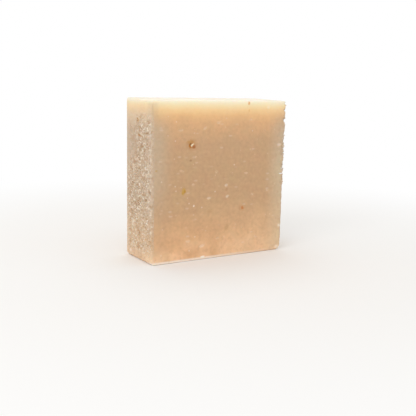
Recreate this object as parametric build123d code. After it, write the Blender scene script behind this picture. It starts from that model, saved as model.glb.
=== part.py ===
from build123d import *
import os
from math import cos, pi, sin, sqrt

# A hand-cut bar of soap, one solid piece, standing on its narrow foot.
# X runs along the width and Y through the thickness, with the smooth cut face towards -Y. Z is up.
# The origin is the middle of the foot. Every length is in millimetres.

# The block: its width along the crown, its height along the smooth face and its thickness at the foot
BAR_WIDTH = 68.3
BAR_HEIGHT = 68.8
BAR_THICKNESS = 24.6
# How far the smooth face leans back from foot to crown
FACE_LEAN = 0.4
# How far the right side comes in from crown to foot
SIDE_LEAN = 0.8
# How much higher the crown is along the back than along the smooth face
CROWN_RISE = 0.6

# Rounding of the four corners of the outline, as the smooth face shows it
CROWN_LEFT_RADIUS = 1.2
CROWN_RIGHT_RADIUS = 1.0
FOOT_LEFT_RADIUS = 1.6
# The corner that has worn away on the foot
WORN_CORNER_RADIUS = 2.8
# Softened rim round the smooth face and round the back
RIM_RADIUS = 0.7

# Bubbles that the cutting wire opened on the smooth face: length, width and depth of each kind
WIDE_PIT_LENGTH = 2.9
WIDE_PIT_WIDTH = 1.3
WIDE_PIT_DEPTH = 0.2
ROUND_PIT_LENGTH = 1.9
ROUND_PIT_WIDTH = 1.5
ROUND_PIT_DEPTH = 0.22
SMALL_PIT_LENGTH = 1.1
SMALL_PIT_WIDTH = 0.8
SMALL_PIT_DEPTH = 0.16
# The one deep bubble
CRATER_WIDTH = 1.7
CRATER_DEPTH = 0.75
# Where crumbs and single grains came away from the two rough sides
CRUMB_PIT_LENGTH = 1.7
CRUMB_PIT_WIDTH = 1.1
CRUMB_PIT_DEPTH = 0.28
GRAIN_PIT_LENGTH = 0.9
GRAIN_PIT_WIDTH = 0.7
GRAIN_PIT_DEPTH = 0.2
# How large the floor of a hollow is beside its mouth, and how many flats its wall has
PIT_FLOOR_SHARE = 0.45
PIT_FLATS = 8
# Notches where a rough side meets a cut face
CHIP_DEPTH = 0.45
# How far a cutting shape runs past the surface that it cuts
OVERRUN = 0.5

HALF_TURN = 180

# Places on a face: share of its width from its left edge, share of the height, and share of a half turn.
# Left is as someone who faces that face sees it. No turn is a pit that lies level.
WIDE_PIT_SHARES = (
    (0.471, 0.861, 0.00),
    (0.370, 0.831, 0.18),
    (0.201, 0.820, 0.04),
    (0.297, 0.656, 0.06),
    (0.205, 0.574, 0.95),
    (0.688, 0.538, 0.00),
    (0.406, 0.390, 0.03),
    (0.256, 0.127, 0.97),
    (0.359, 0.089, 0.12),
    (0.476, 0.127, 0.05),
)
ROUND_PIT_SHARES = (
    (0.289, 0.485, 0.10),
    (0.535, 0.464, 0.05),
    (0.545, 0.392, 0.15),
    (0.458, 0.558, 0.50),
    (0.742, 0.399, 0.02),
    (0.778, 0.108, 0.90),
    (0.715, 0.880, 0.30),
    (0.947, 0.710, 0.00),
    (0.865, 0.417, 0.05),
)
SMALL_PIT_SHARES = (
    (0.521, 0.835, 0.40),
    (0.297, 0.822, 0.00),
    (0.289, 0.611, 0.05),
    (0.451, 0.535, 0.50),
    (0.584, 0.543, 0.60),
    (0.295, 0.348, 0.50),
    (0.717, 0.692, 0.30),
    (0.754, 0.654, 0.40),
    (0.853, 0.953, 0.45),
    (0.834, 0.812, 0.20),
    (0.910, 0.814, 0.10),
    (0.920, 0.455, 0.35),
    (0.614, 0.207, 0.10),
    (0.120, 0.300, 0.50),
    (0.663, 0.182, 0.00),
    (0.894, 0.252, 0.55),
)
CRATER_SHARES = ((0.272, 0.731, 0.00),)
BACK_PIT_SHARES = (
    (0.180, 0.780, 0.05),
    (0.310, 0.610, 0.90),
    (0.560, 0.870, 0.15),
    (0.640, 0.440, 0.00),
    (0.820, 0.660, 0.20),
    (0.270, 0.240, 0.10),
    (0.740, 0.190, 0.95),
    (0.430, 0.350, 0.50),
)
LEFT_CRUMB_SHARES = (
    (0.430, 0.877, 0.40),
    (0.490, 0.787, 0.10),
    (0.620, 0.735, 0.70),
    (0.300, 0.690, 0.30),
    (0.720, 0.640, 0.45),
    (0.520, 0.585, 0.05),
    (0.810, 0.530, 0.35),
    (0.380, 0.500, 0.60),
    (0.650, 0.416, 0.20),
    (0.220, 0.375, 0.40),
    (0.480, 0.330, 0.65),
    (0.760, 0.270, 0.30),
    (0.560, 0.215, 0.70),
    (0.470, 0.098, 0.50),
    (0.807, 0.120, 0.35),
)
RIGHT_CRUMB_SHARES = (
    (0.300, 0.900, 0.20),
    (0.620, 0.830, 0.55),
    (0.420, 0.740, 0.35),
    (0.780, 0.690, 0.10),
    (0.250, 0.620, 0.70),
    (0.560, 0.560, 0.40),
    (0.380, 0.470, 0.15),
    (0.710, 0.400, 0.60),
    (0.480, 0.310, 0.30),
    (0.240, 0.250, 0.50),
    (0.650, 0.190, 0.25),
    (0.400, 0.110, 0.65),
)
LEFT_GRAIN_SHARES = (
    (0.350, 0.830, 0.30),
    (0.590, 0.825, 0.60),
    (0.740, 0.800, 0.10),
    (0.430, 0.745, 0.50),
    (0.560, 0.690, 0.20),
    (0.820, 0.700, 0.40),
    (0.400, 0.620, 0.70),
    (0.640, 0.570, 0.30),
    (0.760, 0.585, 0.55),
    (0.250, 0.555, 0.15),
    (0.560, 0.480, 0.45),
    (0.700, 0.470, 0.05),
    (0.430, 0.425, 0.60),
    (0.840, 0.400, 0.35),
    (0.570, 0.365, 0.10),
    (0.340, 0.285, 0.50),
    (0.660, 0.320, 0.25),
    (0.220, 0.230, 0.70),
    (0.700, 0.185, 0.40),
    (0.370, 0.160, 0.15),
)
RIGHT_GRAIN_SHARES = (
    (0.480, 0.870, 0.30),
    (0.740, 0.870, 0.55),
    (0.220, 0.800, 0.10),
    (0.560, 0.770, 0.45),
    (0.640, 0.650, 0.20),
    (0.400, 0.660, 0.60),
    (0.800, 0.580, 0.35),
    (0.300, 0.530, 0.05),
    (0.620, 0.480, 0.50),
    (0.220, 0.420, 0.30),
    (0.540, 0.390, 0.65),
    (0.790, 0.320, 0.15),
    (0.340, 0.330, 0.40),
    (0.600, 0.260, 0.55),
    (0.760, 0.150, 0.10),
    (0.270, 0.140, 0.45),
)
# Notches down an upright edge: share of the height, share of the full depth, and share of a half turn
FRONT_RIGHT_CHIP_SHARES = (
    (0.946, 0.55, 0.05),
    (0.864, 0.45, 0.95),
    (0.748, 0.65, 0.05),
    (0.712, 0.75, 0.90),
    (0.658, 0.65, 0.10),
    (0.601, 0.80, 0.04),
    (0.563, 0.95, 0.85),
    (0.529, 1.00, 0.02),
    (0.350, 0.40, 0.10),
    (0.162, 0.60, 0.92),
)
FRONT_LEFT_CHIP_SHARES = (
    (0.660, 0.45, 0.10),
    (0.480, 0.40, 0.90),
    (0.290, 0.45, 0.06),
)
BACK_LEFT_CHIP_SHARES = (
    (0.790, 0.45, 0.95),
    (0.340, 0.50, 0.08),
)
BACK_RIGHT_CHIP_SHARES = (
    (0.820, 0.50, 0.06),
    (0.610, 0.70, 0.94),
    (0.430, 0.45, 0.05),
    (0.210, 0.60, 0.90),
)

PIT_SIZES = {
    "wide": (WIDE_PIT_LENGTH, WIDE_PIT_WIDTH, WIDE_PIT_DEPTH),
    "round": (ROUND_PIT_LENGTH, ROUND_PIT_WIDTH, ROUND_PIT_DEPTH),
    "small": (SMALL_PIT_LENGTH, SMALL_PIT_WIDTH, SMALL_PIT_DEPTH),
    "crater": (CRATER_WIDTH, CRATER_WIDTH, CRATER_DEPTH),
    "crumb": (CRUMB_PIT_LENGTH, CRUMB_PIT_WIDTH, CRUMB_PIT_DEPTH),
    "grain": (GRAIN_PIT_LENGTH, GRAIN_PIT_WIDTH, GRAIN_PIT_DEPTH),
}

# Each upright face as a plane that looks outwards, with its Y up and its origin on the foot's level
FRONT = Plane(
    origin=(0, -BAR_THICKNESS / 2, 0),
    x_dir=(1, 0, 0),
    z_dir=(0, -BAR_HEIGHT, FACE_LEAN),
)
BACK = Plane(origin=(0, BAR_THICKNESS / 2, 0), x_dir=(-1, 0, 0), z_dir=(0, 1, 0))
LEFT = Plane(origin=(-BAR_WIDTH / 2, 0, 0), x_dir=(0, -1, 0), z_dir=(-1, 0, 0))
RIGHT = Plane(
    origin=(BAR_WIDTH / 2 - SIDE_LEAN, 0, 0),
    x_dir=(0, 1, 0),
    z_dir=(BAR_HEIGHT, 0, -SIDE_LEAN),
)


def half_width(side, height_share):
    """How far the left or the right side stands from the middle, at a share of the height."""
    lean = SIDE_LEAN * (1 - height_share) if side > 0 else 0
    return BAR_WIDTH / 2 - lean


def corner_edge(block, side, height_share):
    """The edge that runs from front to back at one corner of the outline."""
    level = (BAR_HEIGHT + CROWN_RISE / 2) * height_share
    middle = Vector(side * half_width(side, height_share), 0, level)
    return block.edges().sort_by_distance(middle)[0]


def rounded_block():
    """The bar as it was cut, with its corners worn and its two rims softened."""
    outline = Polyline(
        (-BAR_THICKNESS / 2, 0),
        (BAR_THICKNESS / 2, 0),
        (BAR_THICKNESS / 2, BAR_HEIGHT + CROWN_RISE),
        (-BAR_THICKNESS / 2 + FACE_LEAN, BAR_HEIGHT),
        close=True,
    )
    block = extrude(Plane.YZ * make_face(outline), BAR_WIDTH / 2 + OVERRUN, both=True)
    block = split(split(block, LEFT, keep=Keep.BOTTOM), RIGHT, keep=Keep.BOTTOM)
    corners = (
        (-1, 1, CROWN_LEFT_RADIUS),
        (1, 1, CROWN_RIGHT_RADIUS),
        (-1, 0, FOOT_LEFT_RADIUS),
        (1, 0, WORN_CORNER_RADIUS),
    )
    for side, height_share, radius in corners:
        block = fillet(corner_edge(block, side, height_share), radius)
    faces = block.faces().sort_by(Axis.Y)
    return fillet(faces[0].edges() + faces[-1].edges(), RIM_RADIUS)


def oval_corners(length, width, level):
    """The corners of a flat oval with straight sides, at a level above the surface it is cut into."""
    turns = [2 * pi * (flat + 0.5) / PIT_FLATS for flat in range(PIT_FLATS)]
    return [(length / 2 * cos(turn), width / 2 * sin(turn), level) for turn in turns]


def pit(length, width, depth):
    """A shallow oval hollow to cut from a face whose surface is at level 0."""
    lip_share = 2 - PIT_FLOOR_SHARE
    floor = oval_corners(length * PIT_FLOOR_SHARE, width * PIT_FLOOR_SHARE, -depth)
    lip = oval_corners(length * lip_share, width * lip_share, depth)
    return ConvexPolyhedron(floor + lip)


def pits(face, face_width, kind, place_shares):
    """One hollow of a kind at each place on a face."""
    made = []
    for width_share, height_share, turn_share in place_shares:
        place = Pos((width_share - 0.5) * face_width, height_share * BAR_HEIGHT, 0)
        made.append(face * place * Rot(Z=HALF_TURN * turn_share) * pit(*PIT_SIZES[kind]))
    return made


def chips(side, depth_side, height_shares):
    """Notches in one upright edge. side is -1 for left, depth_side is -1 for the smooth face."""
    inset = RIM_RADIUS * (1 - sqrt(0.5))
    rounding = RIM_RADIUS * (sqrt(2) - 1)
    made = []
    for height_share, depth_share, turn_share in height_shares:
        lean = FACE_LEAN * height_share if depth_side < 0 else 0
        edge = Plane(
            origin=(
                side * (half_width(side, height_share) - inset),
                depth_side * (BAR_THICKNESS / 2 - inset) + lean,
                height_share * BAR_HEIGHT,
            ),
            x_dir=(-side * depth_side, 1, 0),
            z_dir=(side, depth_side, 0),
        )
        depth = CHIP_DEPTH * depth_share
        reach = 2 * (depth + rounding + OVERRUN)
        thick = depth * sqrt(2)
        made.append(edge * Rot(Z=HALF_TURN * turn_share) * Rot(X=45) * Box(reach, thick, thick))
    return made


def soap_bar():
    """The whole bar with its opened bubbles, lost crumbs and chipped edges."""
    front_and_back_cuts = (
        pits(FRONT, BAR_WIDTH, "wide", WIDE_PIT_SHARES)
        + pits(FRONT, BAR_WIDTH, "round", ROUND_PIT_SHARES)
        + pits(FRONT, BAR_WIDTH, "small", SMALL_PIT_SHARES)
        + pits(FRONT, BAR_WIDTH, "crater", CRATER_SHARES)
        + pits(BACK, BAR_WIDTH, "round", BACK_PIT_SHARES)
    )
    rough_side_cuts = (
        pits(LEFT, BAR_THICKNESS, "crumb", LEFT_CRUMB_SHARES)
        + pits(LEFT, BAR_THICKNESS, "grain", LEFT_GRAIN_SHARES)
        + pits(RIGHT, BAR_THICKNESS, "crumb", RIGHT_CRUMB_SHARES)
        + pits(RIGHT, BAR_THICKNESS, "grain", RIGHT_GRAIN_SHARES)
    )
    edge_cuts = (
        chips(1, -1, FRONT_RIGHT_CHIP_SHARES)
        + chips(-1, -1, FRONT_LEFT_CHIP_SHARES)
        + chips(-1, 1, BACK_LEFT_CHIP_SHARES)
        + chips(1, 1, BACK_RIGHT_CHIP_SHARES)
    )
    return rounded_block() - front_and_back_cuts - rough_side_cuts - edge_cuts


os.makedirs("parts", exist_ok=True)
export_step(soap_bar(), "parts/soap_bar.step")
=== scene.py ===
"""A hand-cut bar of cured soap, dressed around its solid.

The smooth cut face looks towards -Y, the width runs along X, and the bar stands on its foot at Z 0.
A fine skin is cast on to the solid, so its bubbles, chips and rounded rims stay where they are.
The two narrow sides then get the torn, crumbly grain that a wire leaves in a dry loaf.
"""

import logging
from dataclasses import dataclass
from enum import Enum
from functools import partial
from math import pi, prod, radians

import bmesh
import bpy
from bmesh.types import BMesh, BMFace
from bpy.types import Material, Mesh, Node, Object
from mathutils import Matrix, Vector
from mathutils.bvhtree import BVHTree


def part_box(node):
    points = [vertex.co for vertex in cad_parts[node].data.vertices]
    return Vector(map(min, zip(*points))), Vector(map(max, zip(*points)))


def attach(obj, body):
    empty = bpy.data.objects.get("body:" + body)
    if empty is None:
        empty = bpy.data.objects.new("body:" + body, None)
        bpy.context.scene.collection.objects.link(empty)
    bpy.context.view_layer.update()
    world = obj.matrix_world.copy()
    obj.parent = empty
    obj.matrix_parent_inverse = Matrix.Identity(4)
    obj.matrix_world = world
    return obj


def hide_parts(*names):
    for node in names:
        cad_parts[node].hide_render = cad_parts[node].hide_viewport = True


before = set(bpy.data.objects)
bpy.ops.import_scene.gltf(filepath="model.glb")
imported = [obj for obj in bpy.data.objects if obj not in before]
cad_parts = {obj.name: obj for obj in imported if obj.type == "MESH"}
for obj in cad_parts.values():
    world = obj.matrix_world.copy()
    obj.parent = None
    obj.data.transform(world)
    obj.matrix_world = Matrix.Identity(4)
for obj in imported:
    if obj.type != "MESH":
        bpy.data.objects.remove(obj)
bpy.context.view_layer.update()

Tree = bpy.types.NodeTree
Socket = bpy.types.NodeSocket
Triple = tuple[float, float, float]
# Two limits: where a mark or a colour starts, and where it is full
Reach = tuple[float, float]

MM = 0.001
# A scale that leaves a point where it is
EVEN = (1.0, 1.0, 1.0)
NODE = "soap_bar"
BODY = "root"
LOG = logging.getLogger("soap")

# A colour mix node's sockets by number, because those for other kinds of data have the same names
MIX_FACTOR = 0
MIX_UNDER = 6
MIX_OVER = 7
MIX_COLOUR = 2


def linear(code: str) -> tuple[float, float, float, float]:
    """Turns an sRGB hex colour into the linear one that a shader takes.

    Args:
        code: The colour, such as "#C6A882".

    Returns:
        Red, green, blue and an alpha of 1.
    """
    shares = [int(code[start:start + 2], 16) / 255 for start in (1, 3, 5)]
    red, green, blue = (s / 12.92 if s <= 0.04045 else ((s + 0.055) / 1.055) ** 2.4 for s in shares)
    return red, green, blue, 1.0


def add_node(tree: Tree, kind: str, settings: dict | None = None, inputs: dict | None = None) -> Node:
    """Adds one node to a tree, with its settings and links.

    Args:
        tree: The shader or geometry tree.
        kind: The node's type name.
        settings: The node's own properties, by name.
        inputs: Its inputs by name or number, each a fixed value or the socket or field that feeds it.

    Returns:
        The new node.
    """
    node = tree.nodes.new(kind)
    for name, value in (settings or {}).items():
        setattr(node, name, value)
    for key, value in (inputs or {}).items():
        source = value.socket if isinstance(value, Field) else value
        if isinstance(source, Socket):
            tree.links.new(source, node.inputs[key])
        else:
            node.inputs[key].default_value = source
    return node


@dataclass(frozen=True)
class Field:
    """A number that a tree works out at each point, so that a rule is written as a plain formula."""

    socket: Socket

    def work_out(self, operation: str, *terms: "Field | float") -> "Field":
        """Adds one step of arithmetic to the tree.

        Args:
            operation: The step, such as "MAXIMUM".
            terms: The numbers and fields that it takes, in order.

        Returns:
            The outcome.
        """
        tree = self.socket.id_data
        node = add_node(tree, "ShaderNodeMath", {"operation": operation}, dict(enumerate(terms)))
        return Field(node.outputs[0])

    def __add__(self, other: "Field | float") -> "Field":
        """Adds a number or a field."""
        return self.work_out("ADD", self, other)

    def __sub__(self, other: "Field | float") -> "Field":
        """Takes away a number or a field."""
        return self.work_out("SUBTRACT", self, other)

    def __rsub__(self, number: float) -> "Field":
        """Takes this field away from a number."""
        return self.work_out("SUBTRACT", number, self)

    def __mul__(self, other: "Field | float") -> "Field":
        """Multiplies by a number or a field."""
        return self.work_out("MULTIPLY", self, other)

    def __rtruediv__(self, number: float) -> "Field":
        """Divides a number by this field."""
        return self.work_out("DIVIDE", number, self)

    def __abs__(self) -> "Field":
        """Drops the sign."""
        return self.work_out("ABSOLUTE", self)

    def ease(self, nothing: float, full: float, least: float = 0.0) -> "Field":
        """Goes smoothly from the least value at one limit to 1 at another, which may be the lower one."""
        return self.spread((nothing, full), (least, 1.0), "SMOOTHSTEP")

    def spread(self, limits: Reach, ends: Reach, way: str = "LINEAR") -> "Field":
        """Goes from one value to another between two limits, and stays at them outside.

        Args:
            limits: Where the result is the first value, and where it is the last.
            ends: Those two values.
            way: How it goes from one to the other.

        Returns:
            The result.
        """
        names = ("From Min", "From Max", "To Min", "To Max", "Value")
        node = add_node(self.socket.id_data, "ShaderNodeMapRange", {"interpolation_type": way},
                        dict(zip(names, (*limits, *ends, self))))
        return Field(node.outputs["Result"])

    def along(self, way: Socket | Triple) -> Socket:
        """Multiplies a way, which is a fixed one or each point's own, by this field."""
        node = add_node(self.socket.id_data, "ShaderNodeVectorMath", {"operation": "SCALE"},
                        {0: way, "Scale": self})
        return node.outputs[0]


def new_material(name: str) -> tuple[Material, Tree]:
    """Makes a material.

    Args:
        name: Its name.

    Returns:
        The material and its tree, which is still empty.
    """
    made = bpy.data.materials.new(name)
    made.use_nodes = True
    made.node_tree.nodes.clear()
    return made, made.node_tree


def new_object(name: str, data: bpy.types.ID) -> Object:
    """Puts a mesh, a light or a camera into the scene.

    Args:
        name: The object's name.
        data: What it shows.

    Returns:
        The object.
    """
    made = bpy.data.objects.new(name, data)
    bpy.context.scene.collection.objects.link(made)
    return made


class Face(Enum):
    """The upright faces of the bar, each as the way it looks."""

    SMOOTH = (0, -1)
    BACK = (0, 1)
    LEFT = (-1, 0)
    RIGHT = (1, 0)


@dataclass(frozen=True)
class BarSize:
    """The bar's box, read from the solid."""

    low: Vector
    high: Vector

    @property
    def half(self) -> Vector:
        """Half the box's width, thickness and height."""
        return (self.high - self.low) / 2

    @property
    def height(self) -> float:
        """How high the bar is."""
        return self.high.z - self.low.z

    def place(self, face: Face, width_share: float, height_share: float) -> Vector:
        """Finds a point on an upright face.

        Args:
            face: The face.
            width_share: Share of its width, from its left edge as one faces it.
            height_share: Share of the height, from the foot.

        Returns:
            The point on the box's face.
        """
        out_x, out_y = face.value
        across = (width_share - 0.5) * 2
        return Vector((
            self.half.x * (out_x - out_y * across),
            self.half.y * (out_y + out_x * across),
            height_share * self.height,
        ))


@dataclass(frozen=True)
class Spot:
    """A stain or a fleck on an upright face: a soft oval, sized in millimetres and turned in degrees."""

    width_share: float
    height_share: float
    length: float
    width: float
    turn: float
    colour: str
    cover: float


OCHRE = "#BE9234"
BISCUIT = "#B98D62"
ASH = "#F1E3D3"
CHALK = "#F8EFE4"
CREAM = "#FAE2CA"
WHITE = "#FFFFFF"
OLIVE = "#BBA379"
PINK = "#C99B78"
CRUMB = "#EADBC6"
SHADE = "#A2754A"

# Stains of honey and clay, flecks of white ash, and in the crater a painted glint and painted shade.
# Those on the back and the right side are made up
SPOTS = {
    Face.SMOOTH: (
        Spot(0.275, 0.725, 6.0, 5.6, 20, "#BE8A5A", 0.50),
        Spot(0.267, 0.741, 4.2, 2.0, 10, "#C08A40", 0.55),
        Spot(0.278, 0.717, 3.0, 2.2, -15, "#BC7C40", 0.60),
        # The crater's dark arc: a stain, deepened by painted shade on the hollow's shaded wall
        Spot(0.2645, 0.7195, 2.5, 1.7, 80, "#AC6A08", 0.92),
        Spot(0.291, 0.712, 1.8, 1.7, 0, "#A86A3A", 0.90),
        # A painted glint in the crater
        Spot(0.2795, 0.7225, 1.9, 0.6, 50, "#FFF2D0", 1.00),
        # A dark dot: a stain, deepened by painted shade in the crater
        Spot(0.270, 0.729, 1.1, 0.8, 0, "#6E4A12", 0.85),
        Spot(0.268, 0.629, 1.4, 1.0, 0, "#9A6A3C", 0.50),
        Spot(0.221, 0.443, 3.6, 2.2, 80, "#C89C42", 0.75),
        Spot(0.228, 0.441, 2.0, 1.1, 85, "#B4862A", 0.60),
        Spot(0.212, 0.430, 1.4, 1.0, 70, OCHRE, 0.45),
        Spot(0.665, 0.309, 1.8, 1.4, 120, "#C4702E", 0.85),
        Spot(0.662, 0.311, 4.2, 3.4, 0, "#C9925C", 0.30),
        Spot(0.698, 0.976, 1.9, 1.3, 90, "#E29A48", 0.75),
        Spot(0.700, 0.930, 1.4, 0.7, 90, "#DDA65C", 0.35),
        Spot(0.538, 0.435, 2.0, 1.4, 0, BISCUIT, 0.45),
        Spot(0.415, 0.306, 3.4, 2.0, 10, BISCUIT, 0.35),
        Spot(0.544, 0.191, 3.8, 2.6, 60, BISCUIT, 0.35),
        Spot(0.030, 0.577, 1.2, 0.8, 0, OCHRE, 0.50),
        Spot(0.535, 0.464, 2.1, 1.5, 10, ASH, 0.30),
        Spot(0.545, 0.392, 2.1, 1.4, 20, ASH, 0.32),
        Spot(0.406, 0.390, 2.6, 1.2, 5, ASH, 0.24),
        Spot(0.471, 0.861, 2.8, 1.2, 0, "#EBC9A0", 0.45),
        Spot(0.295, 0.348, 1.0, 1.0, 0, ASH, 0.80),
        Spot(0.359, 0.089, 3.2, 1.5, 15, "#F6D8BC", 0.50),
        Spot(0.256, 0.129, 3.0, 1.4, 0, "#F2CFAE", 0.50),
        Spot(0.952, 0.708, 2.6, 1.6, 0, "#E2CDB8", 0.85),
        Spot(0.972, 0.166, 1.8, 1.6, 0, ASH, 0.60),
        Spot(0.853, 0.953, 2.2, 1.8, 0, "#FCE4C0", 0.90),
        Spot(0.958, 0.022, 3.0, 1.8, 0, CREAM, 0.65),
        Spot(0.988, 0.048, 1.2, 1.8, 0, CREAM, 0.50),
        Spot(0.365, 0.018, 2.6, 1.2, 10, "#FFF4EA", 0.75),
        Spot(0.985, 0.550, 1.8, 0.8, 0, WHITE, 0.90),
        Spot(0.975, 0.516, 2.4, 0.6, 0, WHITE, 0.90),
    ),
    Face.LEFT: (
        Spot(0.450, 0.868, 2.6, 1.7, 60, "#BC8038", 0.80),
        Spot(0.510, 0.777, 2.6, 1.2, 10, "#B07A3C", 0.75),
        Spot(0.650, 0.712, 2.6, 1.1, 15, "#A98558", 0.60),
        Spot(0.470, 0.700, 1.8, 0.9, 0, "#B08C60", 0.50),
        Spot(0.665, 0.416, 2.0, 1.4, 20, "#A97B4D", 0.65),
        Spot(0.490, 0.100, 3.6, 2.4, 80, "#C08A58", 0.65),
        Spot(0.820, 0.122, 2.0, 1.2, 70, "#B98A58", 0.60),
        Spot(0.812, 0.262, 3.2, 1.1, 120, CHALK, 0.75),
        Spot(0.760, 0.585, 1.6, 1.1, 90, CHALK, 0.80),
        Spot(0.170, 0.040, 2.4, 1.4, 20, ASH, 0.60),
    ),
    Face.BACK: (
        Spot(0.320, 0.640, 1.8, 1.2, 40, "#A65F2E", 0.60),
        Spot(0.700, 0.330, 2.2, 1.3, 80, OCHRE, 0.60),
    ),
    Face.RIGHT: (
        Spot(0.560, 0.560, 1.7, 1.2, 30, "#A87947", 0.70),
        Spot(0.380, 0.230, 2.4, 1.5, 70, "#B98A58", 0.60),
    ),
}


class Coat:
    """A coat of colour, and where on the skin it lies."""

    def __init__(self, colour: str, cover: float, *shares: str, **reaches: Reach) -> None:
        """Sets the coat out.

        Args:
            colour: Its sRGB hex colour.
            cover: The share of what lies below that it covers.
            shares: Names of the skin's fields that it is multiplied by as they are.
            reaches: Names of others, each with where the coat starts and is full, lengths in millimetres.
        """
        self.colour = colour
        self.cover = cover
        self.shares = shares
        self.reaches = reaches


class Skin:
    """The skin as its finish sees it: the fields that a coat can lie by, and the colour so far."""

    def __init__(self, tree: Tree, size: BarSize, finish: "CuredSoap") -> None:
        """Reads the marks that are stored on the skin, and works out the rest.

        Args:
            tree: The material's tree.
            size: The bar's box.
            finish: The finish, which says how far the fields reach.
        """
        self.add = partial(add_node, tree)
        self.size = size
        self.here = self.add("ShaderNodeTexCoord").outputs["Object"]
        self.torn, self.rough, self.relief, self.pit, self.edge = (
            Field(self.add("ShaderNodeAttribute", {"attribute_name": name}).outputs["Fac"])
            for name in ("torn", "rough", "relief", "pit", "edge")
        )
        self.find_noise(finish)
        self.find_place(finish)
        self.colour: Socket | None = None

    def find_noise(self, finish: "CuredSoap") -> None:
        """Works out the clouds, flecks, mottles, grains, strokes, dashes and pinholes.

        Args:
            finish: The finish.
        """
        self.clouds, self.flecks, self.mottles, self.grains = (
            self.noise(grain) for grain in (finish.cloud, finish.fleck, finish.mottle, finish.grain)
        )
        self.drag = self.noise(1.0, 2.0, finish.drag_scale)
        self.level = self.noise(finish.grain, 2.0, finish.drawn_out) * finish.grain_share + self.relief
        self.winding = self.noise(finish.stroke, 1.0, finish.stroke_out)
        self.from_stroke = abs(self.winding - 0.5)
        self.from_dash, self.dash_chance, _ = self.scattered(1.0, finish.dash_scale)
        distance, self.pale_chance, self.dark_chance = self.scattered(finish.pinhole_spacing)
        self.from_pinhole = distance * (finish.pinhole_spacing / MM)

    def find_place(self, finish: "CuredSoap") -> None:
        """Works out how far from the bar's ends, faces and corners a point is, in millimetres.

        Args:
            finish: The finish.
        """
        half = self.size.half / MM
        split = self.add("ShaderNodeSeparateXYZ", None, {0: self.here})
        x, y, self.height = (Field(share) * (1 / MM) for share in split.outputs)
        self.depth = self.size.high.z / MM - self.height
        self.from_left = x + half.x
        self.from_side = half.x - abs(x)
        self.from_front = y + half.y
        self.from_back = half.y - y
        self.from_cut = half.y - abs(y)
        self.right = self.from_left.ease(half.x / 2, half.x * 2)
        self.left = 1.0 - self.right
        self.below_crown = self.depth.ease(*finish.crown_reach)
        self.near_foot = self.height.ease(*finish.foot_glow)
        self.above_foot = 1.0 - self.near_foot
        self.near_top = self.depth.ease(*finish.top_stretch)
        self.sliced = 1.0 - self.torn
        self.clear = self.sliced * self.height.ease(*finish.clear_foot)
        self.dry = (self.depth.ease(*finish.crown_reach, finish.crown_drying)
                    * self.height.ease(*finish.dry_height, finish.foot_drying))
        # The torn sides are drier, so that the glow of the crown ends sooner there
        self.dried_depth = self.depth + self.torn * self.depth.ease(*finish.dried_from) * finish.dried_by
        self.ragged_front = self.from_front - (self.flecks - 0.5) * finish.strip_fray

    def squeezed(self, scale: Triple) -> Socket:
        """The point, with its three coordinates multiplied."""
        return self.add("ShaderNodeMapping", None, {"Scale": scale, "Vector": self.here}).outputs["Vector"]

    def noise(self, grain: float, detail: float = 2.0, scale: Triple = EVEN) -> Field:
        """Noise from 0 to 1, of one grain size, with so many finer layers, on the squeezed point."""
        inputs = {"Scale": 1 / grain, "Detail": detail, "Vector": self.squeezed(scale)}
        return Field(self.add("ShaderNodeTexNoise", None, inputs).outputs["Fac"])

    def scattered(self, spacing: float, scale: Triple = EVEN) -> tuple[Field, Field, Field]:
        """Scatters middles through the wax.

        Args:
            spacing: How far they lie apart.
            scale: What the point's coordinates are multiplied by first.

        Returns:
            How far off the nearest one is, as a share of the spacing, and two chances of its own.
        """
        inputs = {"Scale": 1 / spacing, "Vector": self.squeezed(scale)}
        cells = self.add("ShaderNodeTexVoronoi", None, inputs).outputs
        first, second, _ = self.add("ShaderNodeSeparateXYZ", None, {0: cells["Color"]}).outputs
        return Field(cells["Distance"]), Field(first), Field(second)

    def lay(self, layer: Coat | Spot, where: Field) -> None:
        """Lays a coat or a spot over the colour so far, as thick as the field says, from 0 to 1."""
        inputs = {MIX_FACTOR: where * layer.cover, MIX_UNDER: self.colour, MIX_OVER: linear(layer.colour)}
        self.colour = self.add("ShaderNodeMix", {"data_type": "RGBA"}, inputs).outputs[MIX_COLOUR]

    def coat(self, *coats: Coat) -> None:
        """Lays coats over the colour so far.

        Args:
            coats: The coats, from the lowest up.
        """
        for coat in coats:
            first, *others = (
                *(getattr(self, name) for name in coat.shares),
                *(getattr(self, name).ease(*reach) for name, reach in coat.reaches.items()),
            )
            self.lay(coat, prod(others, start=first))


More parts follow.
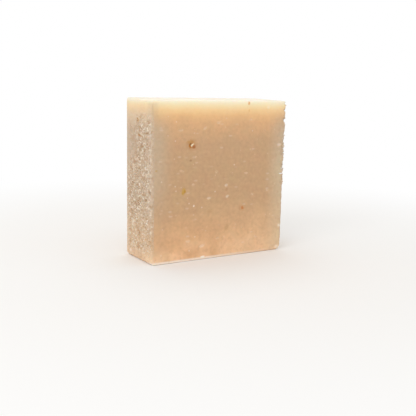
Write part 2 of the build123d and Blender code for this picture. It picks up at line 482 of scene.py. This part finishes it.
@dataclass(frozen=True)
class CuredSoap:
    """Cold-process soap, cured for weeks and cut with a wire.

    It is an opaque wax with a little depth: light goes in a few millimetres and comes out warm, above
    all along the crown, and that glow is also painted into its colour, with painted bounce light towards
    the foot. Its skin dries paler and greyer towards the upright edges, and the torn sides are duller and
    greyer still. It has no gloss but a faint waxy sheen.
    """

    # The wax by its depth below the crown, with painted light in it: a creamy painted glow where light
    # passes through the crown, tan, then a warmer painted glow of light bounced up towards the foot
    wax_glow_stops: tuple[tuple[float, str], ...] = (
        (0.0, "#FCF7EA"), (1.1, "#FDF0D4"), (2.7, "#F9E3B5"), (4.5, "#F6D29C"),
        (7.0, "#ECBF8A"), (10.0, "#DFB183"), (18.0, "#C9A37D"), (34.0, "#C6A17B"),
        (45.0, "#C9A37C"), (56.0, "#D6AE84"), (63.0, "#E2BA8E"), (67.5, "#F2CAA0"),
    )
    # How far the clouds shift those layers
    wander: float = 0.5
    # Faint olive and pink clouds, and finer flecks of both
    clouding: tuple[Coat, ...] = (
        Coat(OLIVE, 0.16, dried_depth=(3, 14), clouds=(0.48, 0.72)),
        Coat(PINK, 0.20, dried_depth=(3, 14), clouds=(0.52, 0.28)),
    )
    flecking: tuple[Coat, ...] = (
        Coat(OLIVE, 0.14, "below_crown", flecks=(0.50, 0.72)),
        Coat(PINK, 0.22, "below_crown", flecks=(0.48, 0.28)),
    )
    # The crown's skin, painted warm bounce light on the lower corners on the right and the left, the dry
    # rims and the pale one
    sliced_faces: tuple[Coat, ...] = (
        Coat("#F2E5CC", 0.85, depth=(1.7, 1.1), clouds=(0.70, 0.40), from_cut=(0.0, 3)),
        Coat("#E4BA92", 0.45, "right", depth=(40, 64)),
        Coat("#E4A070", 0.20, "left", depth=(45, 62)),
        Coat("#C7B094", 0.90, "sliced", "dry", from_side=(12, 0.0)),
        Coat("#D8C4A2", 0.50, "sliced", "right", from_side=(12, 0.0), depth=(18, 30)),
    )
    # The torn sides from the crown down, leaving the painted glow of the crown near the top, with a paler
    # painted glow of light bounced up towards the foot, and at the back; the ragged strip by the smooth face
    # and its foot; the side's pale foot, which is painted bounce light too; painted light on the lower left
    # corner; and the dull top of the edge above it
    torn_sides: tuple[Coat, ...] = (
        Coat("#D8CDB8", 0.30, "torn", depth=(0.3, 1.5)),
        Coat("#CDBEA9", 0.48, "torn", depth=(3, 8)),
        Coat("#B59B84", 0.60, "torn", depth=(7, 14)),
        Coat("#DABA97", 0.75, "torn", "near_foot"),
        Coat("#DACAB6", 0.25, "torn", from_back=(5, 1)),
        Coat("#CBB6A0", 0.75, "torn", "above_foot", ragged_front=(7, 3), depth=(3, 12)),
        Coat("#C8A27C", 0.40, "torn", "near_foot", ragged_front=(7, 3)),
        Coat("#F4D0AE", 0.42, "torn", height=(8, 1.5)),
        Coat("#FFDDB4", 0.45, from_left=(14, 3), from_front=(12, 3), height=(9, 1.5)),
        Coat("#C8B090", 0.30, "near_top", from_left=(4, 1.5), from_front=(6, 2), depth=(1.0, 2.4)),
    )
    # Dark gaps of painted shade, pale winding strokes, pale tops of crumbs, and painted shade in the hollows
    # between them
    torn_grain_and_shade: tuple[Coat, ...] = (
        Coat(SHADE, 0.35, "rough", winding=(0.55, 0.75)),
        Coat(CRUMB, 0.42, "rough", from_stroke=(0.06, 0.01), level=(0.2, 0.9)),
        Coat(CRUMB, 0.88, "rough", level=(0.75, 1.30)),
        Coat(SHADE, 0.52, "rough", level=(0.50, -0.3)),
    )
    # Level dashes, pale pinholes and a few dark grains on the sliced faces
    specks: tuple[Coat, ...] = (
        Coat(ASH, 0.20, "clear", "below_crown", from_dash=(0.30, 0.12), dash_chance=(0.55, 0.95)),
        Coat(ASH, 0.45, "clear", from_pinhole=(0.45, 0.225), pale_chance=(0.3, 0.9)),
        Coat("#93693F", 0.22, "clear", from_pinhole=(0.45, 0.225), dark_chance=(0.90, 0.95)),
    )
    # Open pits, worn rims, and the pale line along the foot: soda ash, brightened as painted light where the
    # rounded foot turns down into shade, whitest at its left end
    rims: tuple[Coat, ...] = (
        Coat("#E6C6A4", 0.65, "pit", grains=(0.25, 0.55)),
        Coat("#C0AA8C", 0.45, "edge", "above_foot", depth=(1, 4), mottles=(0.25, 0.50)),
        Coat("#EDC9A6", 0.60, height=(1.5, 0.7), mottles=(0.10, 0.40)),
        Coat("#FCEDDF", 0.85, "left", height=(1.5, 0.7), mottles=(0.10, 0.40), from_front=(6, 1)),
    )
    # How far the painted glow of the crown and the foot, the drying and the ragged strip reach
    crown_reach: Reach = (3, 14)
    top_stretch: Reach = (12, 6)
    foot_glow: Reach = (28, 5)
    clear_foot: Reach = (0.8, 2.4)
    dry_height: Reach = (14, 40)
    crown_drying: float = 0.08
    foot_drying: float = 0.2
    dried_from: Reach = (0.5, 3)
    dried_by: float = 1.2
    strip_fray: float = 7
    # A spot reaches into the wax, so that it also colours the hollow that it lies in
    spot_depth: float = 2 * MM
    spot_fray: float = 0.9
    spot_border: Reach = (1.65, 0.85)
    # The noise: clouds, flecks, fine mottling, and the torn grain, which is drawn a little coarse to show
    cloud: float = 11 * MM
    fleck: float = 3.0 * MM
    mottle: float = 1.5 * MM
    grain: float = 0.8 * MM
    stroke: float = 0.6 * MM
    pinhole_spacing: float = 3.2 * MM
    # The torn grain is drawn out along the way of the wire, and the dashes and drag marks lie level
    drawn_out: Triple = (1.0, 0.62, 1.0)
    stroke_out: Triple = (1.0, 0.45, 1.0)
    dash_scale: Triple = (1 / (4.2 * MM), 1 / (4.2 * MM), 1 / (1.9 * MM))
    drag_scale: Triple = (1 / (13 * MM), 1 / (13 * MM), 1 / (1.5 * MM))
    # How much the grain counts beside the relief, the drag marks in the shades, and mottles in the bump
    grain_share: float = 1.6
    drag_share: float = 0.3
    mottle_bump: float = 0.5
    # The limits and shades of the mottling, its least in the crown's glow, and the roughness of both skins
    shade_noise: Reach = (0.40, 0.90)
    shades: Reach = (0.93, 1.07)
    glow_shading: float = 0.2
    roughness: Reach = (0.52, 0.88)

    def material(self, size: BarSize) -> Material:
        """Makes the soap's material.

        Args:
            size: The bar's box.

        Returns:
            The material.
        """
        made, tree = new_material("cured_cold_process_soap")
        skin = Skin(tree, size, self)
        self.wax(skin)
        skin.coat(*self.clouding, *self.sliced_faces, *self.torn_sides)
        self.shading(skin)
        skin.coat(*self.flecking, *self.torn_grain_and_shade, *self.specks, *self.rims)
        for face, spots in SPOTS.items():
            for spot in spots:
                self.stain(skin, face, spot)
        self.surface(skin)
        return made

    def wax(self, skin: Skin) -> None:
        """Gives the skin the colour of the wax with its painted glow, by its depth below the crown.

        Args:
            skin: The skin, which has no colour yet.
        """
        wandering = skin.clouds * self.wander + (1 - self.wander / 2)
        share = skin.dried_depth * wandering * (MM / skin.size.height)
        ramp = skin.add("ShaderNodeValToRGB", None, {"Fac": share})
        stops = ramp.color_ramp.elements
        while len(stops) < len(self.wax_glow_stops):
            stops.new(1.0)
        for stop, (level, code) in zip(stops, self.wax_glow_stops):
            stop.position = level * MM / skin.size.height
            stop.color = linear(code)
        skin.colour = ramp.outputs["Color"]

    def shading(self, skin: Skin) -> None:
        """Makes the colour a little lighter and darker from grain to grain, less so in the crown's glow.

        Args:
            skin: The skin.
        """
        shade = (skin.mottles + skin.drag * self.drag_share).spread(self.shade_noise, self.shades)
        share = skin.depth.ease(*self.crown_reach, self.glow_shading)
        inputs = {"Fac": share, "Value": shade, "Color": skin.colour}
        skin.colour = skin.add("ShaderNodeHueSaturation", None, inputs).outputs["Color"]

    def stain(self, skin: Skin, face: Face, spot: Spot) -> None:
        """Lays one spot over the colour.

        Args:
            skin: The skin.
            face: The face that the spot is on.
            spot: The spot, whose border the finest noise frays.
        """
        _, out_y = face.value
        turn, long, wide = radians(spot.turn), spot.length / 2 * MM, spot.width / 2 * MM
        inside = skin.add("ShaderNodeMapping", {"vector_type": "TEXTURE"}, {
            "Vector": skin.here,
            "Location": skin.size.place(face, spot.width_share, spot.height_share),
            "Rotation": (0.0, -turn, 0.0) if out_y else (turn, 0.0, 0.0),
            "Scale": (long, self.spot_depth, wide) if out_y else (self.spot_depth, long, wide),
        }).outputs["Vector"]
        length = skin.add("ShaderNodeVectorMath", {"operation": "LENGTH"}, {0: inside})
        distance = Field(length.outputs["Value"]) + skin.grains * self.spot_fray
        skin.lay(spot, distance.ease(*self.spot_border))

    def surface(self, skin: Skin) -> None:
        """Gives the colour its waxy surface, with the wire's drag marks on the cut faces.

        Args:
            skin: The finished skin.
        """
        height = skin.mottles * self.mottle_bump + skin.drag
        bump = skin.add("ShaderNodeBump", None, {"Strength": 0.7, "Distance": 0.06 * MM, "Height": height})
        shader = skin.add("ShaderNodeBsdfPrincipled", {"subsurface_method": "RANDOM_WALK"}, {
            "Base Color": skin.colour, "Roughness": skin.torn.spread((0.0, 1.0), self.roughness),
            "Normal": bump.outputs["Normal"], "IOR": 1.45, "Specular IOR Level": 0.35,
            "Subsurface Weight": 0.25, "Subsurface Radius": (1.0, 0.6, 0.35), "Subsurface Scale": 2 * MM,
        })
        skin.add("ShaderNodeOutputMaterial", None, {"Surface": shader.outputs["BSDF"]})


@dataclass(frozen=True)
class DriedCrumb:
    """Crumbs of the same soap, dried through: chalky and pale, with hardly any depth or sheen."""

    shade: str = "#C7AB8D"
    middle: str = "#D6C1A8"
    pale: str = "#EFE3D2"
    grit: float = 0.2 * MM

    def material(self) -> Material:
        """Makes the crumbs' material, in which each crumb has its own tone.

        Returns:
            The material.
        """
        made, tree = new_material("dried_soap_crumb")
        tone = add_node(tree, "ShaderNodeAttribute", {"attribute_name": "tone"}).outputs["Fac"]
        ramp = add_node(tree, "ShaderNodeValToRGB", None, {"Fac": tone})
        stops = ramp.color_ramp.elements
        stops[0].color = linear(self.shade)
        stops[1].color = linear(self.pale)
        stops.new(0.6).color = linear(self.middle)
        here = add_node(tree, "ShaderNodeTexCoord").outputs["Object"]
        grit = add_node(tree, "ShaderNodeTexNoise", None, {"Scale": 1 / self.grit, "Vector": here})
        bump = add_node(tree, "ShaderNodeBump", None, {
            "Strength": 0.4, "Distance": 0.05 * MM, "Height": grit.outputs["Fac"],
        })
        shader = add_node(tree, "ShaderNodeBsdfPrincipled", None, {
            "Base Color": ramp.outputs["Color"], "Roughness": 0.9, "Normal": bump.outputs["Normal"],
            "Specular IOR Level": 0.25, "Subsurface Weight": 0.1, "Subsurface Radius": (1.0, 0.6, 0.4),
            "Subsurface Scale": 1 * MM,
        })
        add_node(tree, "ShaderNodeOutputMaterial", None, {"Surface": shader.outputs["BSDF"]})
        return made


@dataclass(frozen=True)
class PaperSweep:
    """Matt white studio paper, which keeps the bar's shadow and goes to plain white around it."""

    paper: str = "#F6F5F3"
    white_reach: Reach = (90 * MM, 260 * MM)

    def material(self) -> Material:
        """Makes the paper's material.

        Returns:
            The material.
        """
        made, tree = new_material("matt_white_paper")
        here = add_node(tree, "ShaderNodeTexCoord").outputs["Object"]
        length = add_node(tree, "ShaderNodeVectorMath", {"operation": "LENGTH"}, {0: here})
        away = Field(length.outputs["Value"]).ease(*self.white_reach) * seen_directly(tree)
        paper = add_node(tree, "ShaderNodeBsdfDiffuse", None, {"Color": linear(self.paper)}).outputs["BSDF"]
        white = add_node(tree, "ShaderNodeEmission").outputs["Emission"]
        mixed = add_node(tree, "ShaderNodeMixShader", None, {0: away, 1: paper, 2: white}).outputs[0]
        add_node(tree, "ShaderNodeOutputMaterial", None, {"Surface": mixed})
        return made


def seen_directly(tree: Tree) -> Field:
    """Tells rays that end in the picture, straight or by a reflection, from those that only carry light.

    Args:
        tree: The tree of a material or of the world.

    Returns:
        A field that is 1 for such a ray.
    """
    path = add_node(tree, "ShaderNodeLightPath").outputs
    seen = Field(path["Is Camera Ray"])
    for name in ("Is Glossy Ray", "Is Transmission Ray"):
        seen = seen.work_out("MAXIMUM", seen, Field(path[name]))
    return seen


class FieldTree:
    """A geometry tree with named inputs, which is run once on an object and leaves a plain mesh."""

    def __init__(self, name: str, sizes: dict[str, float]) -> None:
        """Starts the tree.

        Args:
            name: The tree's name.
            sizes: Its inputs by name, each with its value.
        """
        self.tree = bpy.data.node_groups.new(name, "GeometryNodeTree")
        self.add = partial(add_node, self.tree)
        sockets = self.tree.interface
        for way in ("INPUT", "OUTPUT"):
            sockets.new_socket("Geometry", in_out=way, socket_type="NodeSocketGeometry")
        self.sizes = {
            sockets.new_socket(size, in_out="INPUT", socket_type="NodeSocketFloat").identifier: value
            for size, value in sizes.items()
        }
        start = self.add("NodeGroupInput").outputs
        self.geometry = start["Geometry"]
        self.size = {size: Field(start[size]) for size in sizes}
        self.here = self.add("GeometryNodeInputPosition").outputs[0]

    def mark(self, name: str) -> Field:
        """Reads a mark that is stored on the skin."""
        return Field(self.add("GeometryNodeInputNamedAttribute", None, {"Name": name}).outputs[0])

    def noise(self, where: Socket, grain: Field, seed: float) -> Field:
        """Noise about 0, mostly from -0.3 to 0.3, where each seed gives a pattern of its own."""
        inputs = {"Vector": where, "W": seed, "Scale": 1.0 / grain, "Detail": 2.0}
        return Field(self.add("ShaderNodeTexNoise", {"noise_dimensions": "4D"}, inputs).outputs[0]) - 0.5

    def run(self, geometry: Socket, finish: Material, target: Object) -> None:
        """Ends the tree, runs it on an object and leaves the result as that object's mesh.

        Args:
            geometry: What the tree has made.
            finish: The material that it all gets.
            target: The object.
        """
        whole = self.add("GeometryNodeRealizeInstances", None, {"Geometry": geometry}).outputs[0]
        dressed = self.add("GeometryNodeSetMaterial", None, {"Geometry": whole, "Material": finish})
        self.add("NodeGroupOutput", None, {0: dressed.outputs[0]})
        modifier = target.modifiers.new(self.tree.name, "NODES")
        modifier.node_group = self.tree
        for identifier, value in self.sizes.items():
            modifier[identifier] = value
        graph = bpy.context.evaluated_depsgraph_get()
        plain = bpy.data.meshes.new_from_object(target.evaluated_get(graph), preserve_all_data_layers=True,
                                                depsgraph=graph)
        target.modifiers.remove(modifier)
        old = target.data
        target.data = plain
        plain.name = target.name
        bpy.data.meshes.remove(old)


def fade(value: float, nothing: float, full: float) -> float:
    """Eases from 0 to 1 as a value goes from one limit to another.

    Args:
        value: The value.
        nothing: Where the result is 0.
        full: Where the result is 1.

    Returns:
        The eased share.
    """
    share = min(max((value - nothing) / (full - nothing), 0.0), 1.0)
    return share * share * (3 - 2 * share)


@dataclass(frozen=True)
class Flat:
    """One of the solid's six flats: a point on it and the way it faces."""

    point: Vector
    out: Vector

    def depth(self, place: Vector) -> float:
        """How far below the flat a place is."""
        return (self.point - place).dot(self.out)


@dataclass
class SoapBar:
    """The bar's skin: a cage of cells cast on to the solid, then torn on its two narrow sides."""

    size: BarSize
    finish: CuredSoap
    # Cells of the cage: on plain faces, on the faces that show, and where the surface bends or is torn
    plain_cell: float = 1.1 * MM
    shown_cell: float = 0.55 * MM
    fine_cell: float = 0.275 * MM
    # A share of a cell's length that tells a whole cell from a half one
    whole: float = 0.7
    # The box inside the bar that the skin is cast from
    core_inset: float = 3.5 * MM
    # A cell bends if the solid under it turns away by more than this
    bend: float = radians(6)
    # The torn band, in millimetres: it reaches round the rims, and fades near the crown and the foot
    torn_wrap: Reach = (1.1, 0.4)
    torn_top: Reach = (4, 11)
    torn_foot: Reach = (2, 8)
    torn_least: float = 0.4
    grain_least: float = 0.12
    # It keeps less of its grain at the upper back, in the strip by the smooth face and by the back rim
    upper: Reach = (36, 46)
    backward: Reach = (0.0, 5)
    front_strip: Reach = (1.6, 0.5)
    back_rim: Reach = (4.5, 0.4)
    back_rim_side: Reach = (8, 4)
    losses: Triple = (0.75, 0.3, 0.65)
    relief_depth: float = 0.34 * MM
    tear_depth: float = 0.27 * MM
    # How much each form counts in the relief and in the tears, and how far the whole is raised
    crumb_share: float = 0.8
    grit_share: float = 1.5
    swell_share: float = 0.8
    crack_share: float = 0.6
    pocket_share: float = 0.9
    raised: float = 0.1
    # Where the noise makes a crack, ground that cracks, a pocket and a nick
    crack_reach: Reach = (0.07, 0.0)
    cracked: Reach = (-0.06, 0.08)
    pocket_reach: Reach = (-0.08, -0.2)
    nick_reach: Reach = (0.0, -0.14)
    # How the grit pushes the middles of the crumbs about
    crumb_push: Triple = (1.2 * MM, 0.9 * MM, -1.1 * MM)
    # Loose crumbs hold on away from the rims and the foot
    loose_rim: Reach = (0.6, 1.4)
    loose_foot: Reach = (1, 3)
    # A pit is sunk into a face away from its rims, and a rim is where two flats are near
    pit_rim: float = 1.5
    pit_depth: Reach = (0.02, 0.16)
    edge_reach: Reach = (0.91, 0.14)
    # The right rim is frayed from the crown to below the middle of the bar
    fray_depth: float = 0.75 * MM
    fray_way: Triple = (-0.85, 0.5, 0.0)
    fray_wrap: Reach = (2.6, 0.5)
    fray_foot: Reach = (27, 33)

    def build(self) -> Object:
        """Makes the skin, its marks and its relief.

        Returns:
            The finished object.
        """
        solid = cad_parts[NODE].data
        corners = [vertex.co.copy() for vertex in solid.vertices]
        self.surface = BVHTree.FromPolygons(corners, [tuple(face.vertices) for face in solid.polygons])
        cage = self.cage()
        self.refine(cage)
        for vertex in cage.verts:
            vertex.co = self.cast(vertex.co)[0]
        mesh = bpy.data.meshes.new("soap")
        cage.to_mesh(mesh)
        cage.free()
        self.mark(mesh, self.flats(solid))
        soap = new_object("soap", mesh)
        self.tear(soap)
        soap.data.shade_smooth()
        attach(soap, BODY)
        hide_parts(NODE)
        return soap

    def cage(self) -> BMesh:
        """Makes a box of even cells round the solid.

        Returns:
            The cage, which the caller frees.
        """
        cage = bmesh.new()
        middle = (self.size.low + self.size.high) / 2
        span = self.size.high - self.size.low
        box = Matrix.Translation(middle) @ Matrix.Diagonal((*span, 1.0))
        bmesh.ops.create_cube(cage, size=1.0, matrix=box)
        for axis in range(3):
            along = [edge for edge in cage.edges
                     if abs(edge.verts[0].co[axis] - edge.verts[1].co[axis]) > span[axis] / 2]
            cuts = round(span[axis] / self.plain_cell) - 1
            bmesh.ops.subdivide_edges(cage, edges=along, cuts=cuts, use_grid_fill=True)
        return cage

    def cast(self, place: Vector) -> tuple[Vector, Vector]:
        """Finds the solid's surface behind a point of the cage.

        Args:
            place: The point on the cage.

        Returns:
            The point on the solid and the solid's normal there.
        """
        inset = Vector((self.core_inset,) * 3)
        low, high = self.size.low + inset, self.size.high - inset
        core = Vector(min(max(value, start), end) for value, start, end in zip(place, low, high))
        hit, normal, _, _ = self.surface.ray_cast(core, place - core)
        if hit is None:
            hit, normal, _, _ = self.surface.find_nearest(place)
        return hit, normal

    def wanted_cell(self, face: BMFace) -> float:
        """How fine the cage has to be at one of its faces.

        Args:
            face: The face.

        Returns:
            The length of a cell's side.
        """
        outwards = face.normal
        if abs(outwards.x) > 0.5:
            return self.fine_cell
        samples = [face.calc_center_median(), *(vertex.co for vertex in face.verts)]
        if any(self.cast(sample)[1].angle(outwards, 0.0) > self.bend for sample in samples):
            return self.fine_cell
        shows = outwards.y < -0.5 or outwards.z > 0.5
        return self.shown_cell if shows else self.plain_cell

    def refine(self, cage: BMesh) -> None:
        """Halves the cells of the cage until each is as fine as its place needs.

        Args:
            cage: The cage.
        """
        cell = self.plain_cell
        while (limit := cell * self.whole) > self.fine_cell:
            cage.normal_update()
            coarse = [face for face in cage.faces if self.wanted_cell(face) < limit]
            edges = {edge for face in coarse for edge in face.edges if edge.calc_length() > limit}
            bmesh.ops.subdivide_edges(cage, edges=list(edges), cuts=1, use_grid_fill=True)
            cell /= 2

    def flats(self, solid: Mesh) -> dict[str, Flat]:
        """Finds the solid's six flats, which lean a little, as its largest triangle each way.

        Args:
            solid: The solid's mesh.

        Returns:
            The flats, by name.
        """
        ways = {"left": (-1, 0, 0), "right": (1, 0, 0), "front": (0, -1, 0), "back": (0, 1, 0),
                "foot": (0, 0, -1), "crown": (0, 0, 1)}
        found = {}
        for name, way in ways.items():
            facing = [face for face in solid.polygons if face.normal.dot(Vector(way)) > 0.99]
            largest = max(facing, key=lambda face: face.area)
            found[name] = Flat(largest.center.copy(), largest.normal.copy())
        return found

    def mark(self, mesh: Mesh, flats: dict[str, Flat]) -> None:
        """Stores its marks on each point of the skin.

        Args:
            mesh: The skin.
            flats: The solid's flats.
        """
        points = [self.marks_at(vertex.co, flats) for vertex in mesh.vertices]
        for name in points[0]:
            values = [marks[name] for marks in points]
            mesh.attributes.new(name, "FLOAT", "POINT").data.foreach_set("value", values)

    def marks_at(self, here: Vector, flats: dict[str, Flat]) -> dict[str, float]:
        """Finds how torn, rough, loose and frayed a point is, how deep in a pit and how near a rim.

        Args:
            here: The point.
            flats: The solid's flats.

        Returns:
            The marks, by name, each from 0 to 1.
        """
        below = {name: flat.depth(here) / MM for name, flat in flats.items()}
        side = min(below["left"], below["right"])
        face = min(below["front"], below["back"])
        end = min(below["crown"], below["foot"])
        low = fade(below["foot"], *self.torn_foot)
        high = fade(below["crown"], *self.torn_top)
        torn = fade(side, *self.torn_wrap) * (self.torn_least + (1 - self.torn_least) * low)
        rough = torn * (self.grain_least + (1 - self.grain_least) * high) * self.kept(here / MM, below)
        sunk = min(face, end) if min(side, max(face, end)) > self.pit_rim else 0.0
        right_rim = fade(max(below["right"], below["front"]), *self.fray_wrap)
        return {
            "torn": torn,
            "rough": rough,
            "loose": rough * fade(face, *self.loose_rim) * fade(below["foot"], *self.loose_foot),
            "pit": fade(sunk, *self.pit_depth),
            "edge": fade(sorted((side, face, end))[1], *self.edge_reach),
            "fray": right_rim * fade(here.z / MM, *self.fray_foot),
        }

    def kept(self, here: Vector, below: dict[str, float]) -> float:
        """Finds how much of its grain a torn place keeps.

        Args:
            here: The place, in millimetres.
            below: How far below each flat it is.

        Returns:
            A share of the full grain.
        """
        upper_back = fade(here.y, *self.backward) * fade(here.z, *self.upper)
        front_strip = fade(below["front"], *self.front_strip)
        back_rim = fade(below["back"], *self.back_rim) * fade(below["left"], *self.back_rim_side)
        places = (upper_back, front_strip, back_rim)
        return prod(1 - loss * place for loss, place in zip(self.losses, places))

    def tear(self, soap: Object) -> None:
        """Gives the torn sides their grain and the right rim its nicks, with a geometry tree.

        Args:
            soap: The skin, whose mesh is replaced by the torn one.
        """
        field = FieldTree("torn_sides", {
            "Crumb size": 1.5 * MM,
            "Grit size": 0.7 * MM,
            "Swell size": 3.4 * MM,
            "Crack size": 1.7 * MM,
            "Pocket size": 2.2 * MM,
            "Relief depth": self.relief_depth,
            "Tear depth": self.tear_depth,
            "Nick size": 1.6 * MM,
            "Fray depth": self.fray_depth,
        })
        size = field.size
        here = field.add("ShaderNodeVectorMath", {"operation": "MULTIPLY"},
                         {0: field.here, 1: self.finish.drawn_out}).outputs[0]
        grit = field.noise(here, size["Grit size"], 1.0)
        swell = field.noise(here, size["Swell size"], 2.0)
        crack_line = abs(field.noise(here, size["Crack size"], 3.0)).ease(*self.crack_reach)
        crack = crack_line * swell.ease(*self.cracked)
        pocket = field.noise(here, size["Pocket size"], 4.0).ease(*self.pocket_reach)
        bent = field.add("ShaderNodeVectorMath", {"operation": "ADD"},
                         {0: here, 1: grit.along(self.crumb_push)}).outputs[0]
        cells = field.add("ShaderNodeTexVoronoi", None, {"Vector": bent, "Scale": 1.0 / size["Crumb size"]})
        crumb = Field(cells.outputs["Distance"]).spread((0.1, 0.8), (0.5, -0.5))
        level = crumb * self.crumb_share + grit * self.grit_share + swell * self.swell_share
        cut = crack * self.crack_share + pocket * self.pocket_share
        marked = field.add("GeometryNodeStoreNamedAttribute", None,
                           {"Geometry": field.geometry, "Name": "relief", "Value": level - cut}).outputs[0]
        height = (level + self.raised) * size["Relief depth"] - cut * size["Tear depth"]
        normal = field.add("GeometryNodeInputNormal").outputs[0]
        rise = (height * field.mark("rough")).along(normal)
        torn = field.add("GeometryNodeSetPosition", None, {"Geometry": marked, "Offset": rise}).outputs[0]
        nicks = field.noise(field.here, size["Nick size"], 6.0).ease(*self.nick_reach)
        pull = (nicks * field.mark("fray") * size["Fray depth"]).along(self.fray_way)
        frayed = field.add("GeometryNodeSetPosition", None, {"Geometry": torn, "Offset": pull}).outputs[0]
        field.run(frayed, self.finish.material(self.size), soap)


@dataclass
class SideCrumbs:
    """Crumbs and flakes that hold on to the torn sides and fray the upright edges."""

    finish: DriedCrumb
    radius: float = 0.33 * MM
    per_square_mm: float = 1.0
    smallest: Triple = (0.5, 0.5, 0.35)
    largest: Triple = (1.9, 1.3, 0.8)
    # They lie in patches where the skin is loose, and where it is frayed
    patch_reach: Reach = (-0.15, 0.15)
    loose_reach: Reach = (0.2, 0.7)
    fray_reach: Reach = (0.6, 1.0)
    seed: int = 7

    def build(self, soap: Object) -> Object:
        """Scatters the crumbs over the skin with a geometry tree.

        Args:
            soap: The finished skin.

        Returns:
            The crumbs, as one object.
        """
        crumbs = new_object("side_crumbs", soap.data.copy())
        field = FieldTree("side_crumbs", {
            "Crumb radius": self.radius,
            "Crumbs per square metre": self.per_square_mm / (MM * MM),
            "Patch size": 2.6 * MM,
        })
        size = field.size
        patch = field.noise(field.here, size["Patch size"], 5.0).spread(self.patch_reach, (0.0, 1.0))
        inner = field.mark("loose").ease(*self.loose_reach) * patch
        wanted = inner.work_out("MAXIMUM", inner, field.mark("fray").ease(*self.fray_reach))
        points = field.add("GeometryNodeDistributePointsOnFaces", None, {
            "Mesh": field.geometry, "Density": wanted * size["Crumbs per square metre"], "Seed": self.seed,
        }).outputs["Points"]
        ball = field.add("GeometryNodeMeshIcoSphere", None,
                         {"Radius": size["Crumb radius"], "Subdivisions": 1}).outputs["Mesh"]
        dent = field.noise(field.here, size["Crumb radius"], 9.0).along(field.here)
        chip = field.add("GeometryNodeSetPosition", None, {"Geometry": ball, "Offset": dent}).outputs[0]
        turn, scale = (
            field.add("FunctionNodeRandomValue", {"data_type": "FLOAT_VECTOR"},
                      {"Min": least, "Max": most, "Seed": self.seed + step}).outputs["Value"]
            for step, least, most in ((1, (0.0,) * 3, (2 * pi,) * 3), (2, self.smallest, self.largest))
        )
        placed = field.add("GeometryNodeInstanceOnPoints", None,
                           {"Points": points, "Instance": chip, "Rotation": turn, "Scale": scale}).outputs[0]
        tone = field.add("FunctionNodeRandomValue", None, {"Seed": self.seed + 3}).outputs[1]
        toned = field.add("GeometryNodeStoreNamedAttribute", {"domain": "INSTANCE"},
                          {"Geometry": placed, "Name": "tone", "Value": tone}).outputs[0]
        field.run(toned, self.finish.material(), crumbs)
        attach(crumbs, BODY)
        return crumbs


@dataclass(frozen=True)
class Lamp:
    """A soft box: where it stands, its side and its power in watts."""

    name: str
    place: Triple
    side: float
    power: float
    tint: str = WHITE


@dataclass
class Studio:
    """A white paper floor, an even white room and soft boxes."""

    finish: PaperSweep
    floor_side: float = 6.0
    floor_gap: float = 0.03 * MM
    room_level: float = 0.86
    lamps: tuple[Lamp, ...] = (
        Lamp("crown_box", (0.05, 0.22, 0.62), 0.34, 0.35, "#FFF8EE"),
        Lamp("left_box", (-0.75, -0.45, 0.55), 0.6, 2.1),
    )

    def build(self, size: BarSize) -> None:
        """Sets up the floor, the room's light and the lamps.

        Args:
            size: The bar's box.
        """
        self.floor()
        self.room()
        aim = (size.low + size.high) / 2
        for lamp in self.lamps:
            light = bpy.data.lights.new(lamp.name, "AREA")
            light.size = lamp.side
            light.energy = lamp.power
            light.color = linear(lamp.tint)[:3]
            holder = new_object(lamp.name, light)
            holder.location = lamp.place
            holder.rotation_euler = (Vector(lamp.place) - aim).to_track_quat("Z", "Y").to_euler()

    def floor(self) -> None:
        """Lays the paper just under the foot."""
        sheet = bmesh.new()
        bmesh.ops.create_grid(sheet, x_segments=1, y_segments=1, size=self.floor_side / 2)
        mesh = bpy.data.meshes.new("floor")
        sheet.to_mesh(mesh)
        sheet.free()
        mesh.transform(Matrix.Translation((0, 0, -self.floor_gap)))
        mesh.materials.append(self.finish.material())
        new_object("floor", mesh)

    def room(self) -> None:
        """Lights the room evenly, and shows it as plain white."""
        world = bpy.data.worlds.new("white_room")
        world.use_nodes = True
        tree = world.node_tree
        tree.nodes.clear()
        level = seen_directly(tree).spread((0.0, 1.0), (self.room_level, 1.0))
        white = add_node(tree, "ShaderNodeBackground", None, {"Color": linear(WHITE), "Strength": level})
        add_node(tree, "ShaderNodeOutputWorld", None, {"Surface": white.outputs[0]})
        bpy.context.scene.world = world


@dataclass
class ViewCamera:
    """The camera, where the photograph was taken from: low, to the left of the smooth face."""

    place: Triple = (-157.98 * MM, -254.44 * MM, 74.31 * MM)
    azimuth: float = 31.96
    down: float = 10.25
    roll: float = 1.17
    lens: float = 57.86

    def build(self) -> None:
        """Makes the camera and gives it to the scene."""
        data = bpy.data.cameras.new("camera")
        data.lens = self.lens
        data.clip_start = 10 * MM
        camera = new_object("camera", data)
        turned = (
            Matrix.Rotation(-radians(self.azimuth), 4, "Z")
            @ Matrix.Rotation(radians(90 - self.down), 4, "X")
            @ Matrix.Rotation(radians(self.roll), 4, "Z")
        )
        camera.matrix_world = Matrix.Translation(self.place) @ turned
        bpy.context.scene.camera = camera


def main() -> None:
    """Builds the camera, the bar, its crumbs and the studio in order, and reports each."""
    logging.basicConfig(level=logging.INFO, format="%(name)s: %(message)s")
    bpy.context.scene.view_settings.view_transform = "Standard"
    size = BarSize(*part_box(NODE))
    ViewCamera().build()
    LOG.info("camera placed")
    soap = SoapBar(size, CuredSoap()).build()
    LOG.info("%s: %d faces", soap.name, len(soap.data.polygons))
    crumbs = SideCrumbs(DriedCrumb()).build(soap)
    LOG.info("%s: %d faces", crumbs.name, len(crumbs.data.polygons))
    Studio(PaperSweep()).build(size)
    LOG.info("studio lit")


if __name__ == "__main__":
    main()
